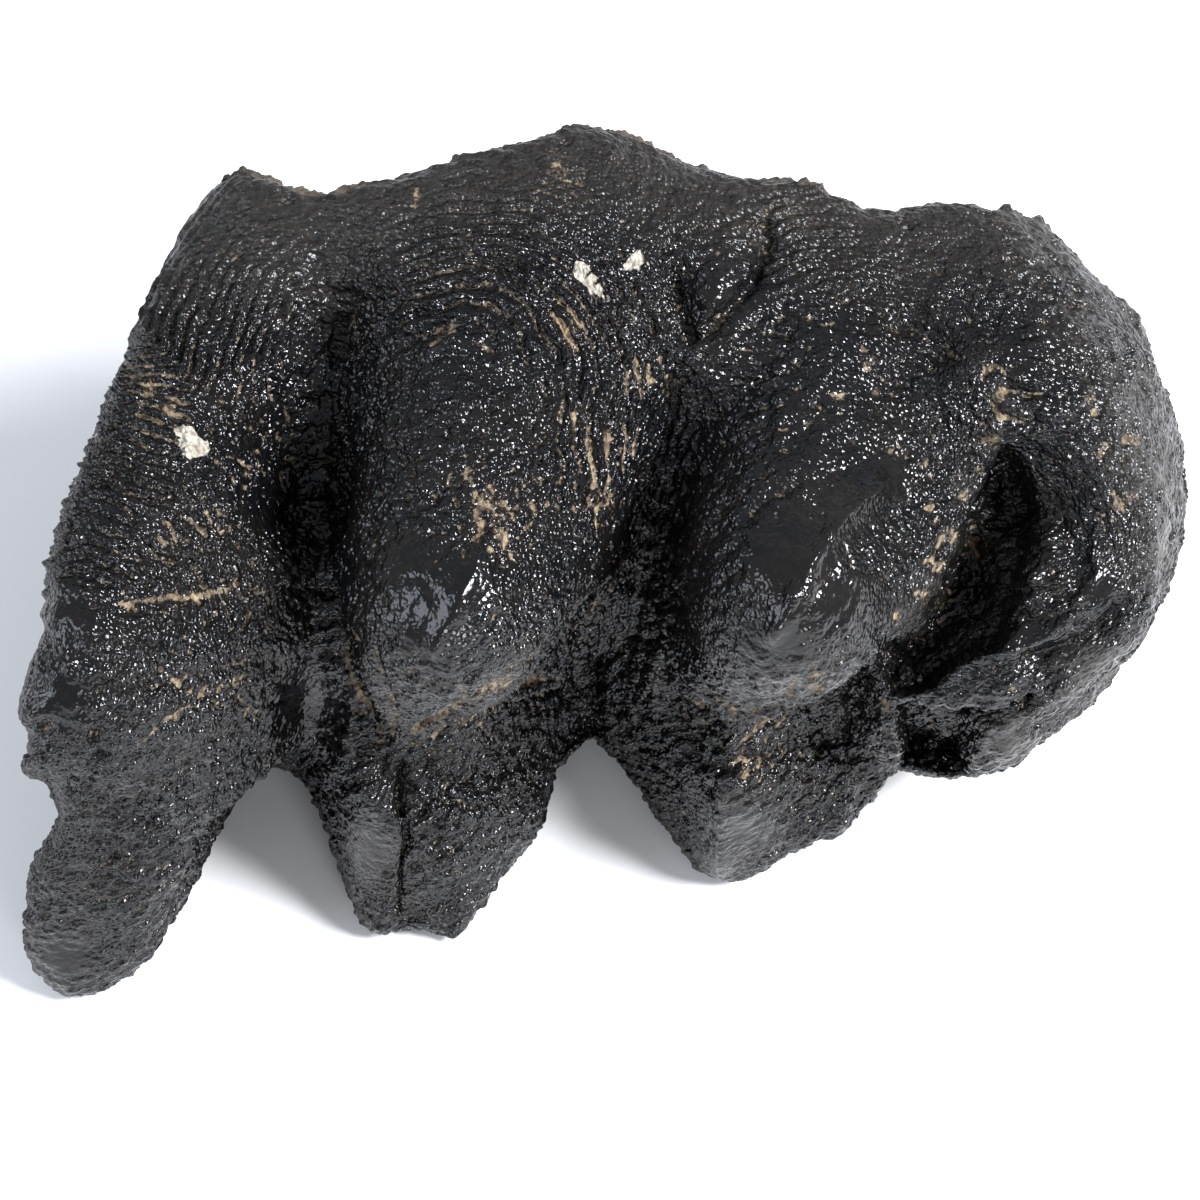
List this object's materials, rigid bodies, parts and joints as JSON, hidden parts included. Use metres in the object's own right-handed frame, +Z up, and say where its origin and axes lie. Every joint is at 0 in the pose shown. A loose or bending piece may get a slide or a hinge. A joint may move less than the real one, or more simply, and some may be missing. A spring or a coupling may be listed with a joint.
{
  "type": "fossil mastodon tooth",
  "caption": "Black fossil mastodon molar lying on its side, with cross ridges of paired cusps, a pitted heel and a broken, hollowed root side.",
  "frame": {"origin": "centre of the bounding box in plan, at the height of the surface that the tooth rests on", "axes": "+X runs from the front of the tooth to its heel, +Y points to the root side, so -Y is the chewing side, and +Z is up"},
  "size_m": [0.1422, 0.0868, 0.0714],
  "materials": {
    "fossil_enamel": "near-black mineralised enamel, glossy on the worn cusps and satin in the growth lines, with matte grey-brown dentine on the root side"
  },
  "bodies": {
    "root": {"tooth": "fossil_enamel"}
  },
  "joints": []
}
